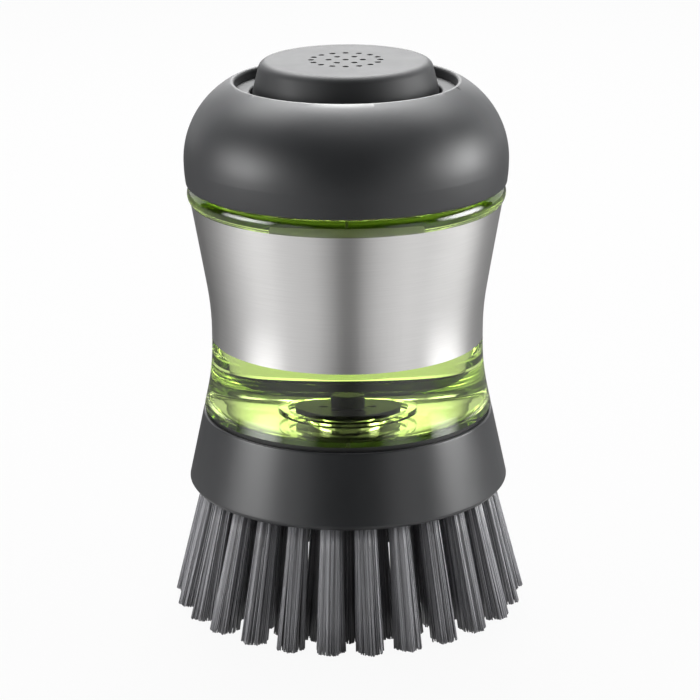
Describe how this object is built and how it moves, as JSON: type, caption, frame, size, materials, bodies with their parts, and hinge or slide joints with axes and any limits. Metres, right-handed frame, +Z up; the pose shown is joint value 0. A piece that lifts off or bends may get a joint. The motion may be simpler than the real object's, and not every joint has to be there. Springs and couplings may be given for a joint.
{
  "type": "palm dish brush",
  "caption": "Palm dish brush with a domed grip, a push-button pump, a clear soap tank in a steel sleeve and a flared head of splayed bristle tufts.",
  "frame": {"origin": "centre of the bristle tips' plane, on the brush's axis", "axes": "+Z up the brush's axis from the bristle tips to the button; -Y is the side the picture shows"},
  "size_m": [0.0688, 0.0684, 0.1056],
  "materials": {
    "soft_grip": "fine matt moulded soft plastic",
    "dark_plastic": "fine matt moulded",
    "inner_plastic": "smooth moulded",
    "clear_plastic": "clear polished moulding",
    "sheet_steel": "brushed round the band",
    "spring_wire": "drawn wire",
    "silicone": "smooth moulded",
    "bristle": "extruded filament",
    "staple_wire": "flat wire"
  },
  "bodies": {
    "tank": {"soap_tank": "clear_plastic", "steel_sleeve": "sheet_steel", "valve_body": "dark_plastic", "slit_valve": "silicone", "valve_retainer": "inner_plastic"},
    "cap_seal": {"cap_gasket": "silicone"},
    "cap": {"cap_core": "dark_plastic", "grip_dome": "soft_grip", "button_bezel": "dark_plastic", "pump_barrel": "inner_plastic", "barrel_o_ring": "silicone", "check_valve": "silicone", "return_spring": "spring_wire"},
    "button": {"push_button": "dark_plastic", "plunger": "inner_plastic", "piston_seal": "silicone"},
    "neck_seal": {"head_seal": "silicone"},
    "brush_head": {"brush_block": "dark_plastic", "outer_tufts": "bristle", "middle_tufts": "bristle", "inner_tufts": "bristle", "tuft_anchors": "staple_wire"}
  },
  "joints": [
    {"name": "cap_lift", "type": "slide", "parent": "tank", "child": "cap_seal", "axis": [0, 0, 1], "range_m": [0, 0.0026]},
    {"name": "cap_turn", "type": "hinge", "parent": "cap_seal", "child": "cap", "pos_m": [0, 0, 0.0868], "axis": [0, 0, 1], "range_deg": [0, 75]},
    {"name": "button_press", "type": "slide", "parent": "cap", "child": "button", "axis": [0, 0, -1], "range_m": [0, 0.0044], "stiffness_N_per_m": 700, "springref_m": -0.005, "deforming": ["return_spring"]},
    {"name": "head_drop", "type": "slide", "parent": "tank", "child": "neck_seal", "axis": [0, 0, -1], "range_m": [0, 0.0075]},
    {"name": "head_turn", "type": "hinge", "parent": "neck_seal", "child": "brush_head", "pos_m": [0, 0, 0.0379], "axis": [0, 0, -1], "range_deg": [0, 60]}
  ],
  "couplings": [
    {"joint": "cap_lift", "follows": "cap_turn", "m_per_rad": 0.001986},
    {"joint": "head_drop", "follows": "head_turn", "m_per_rad": 0.00716}
  ]
}
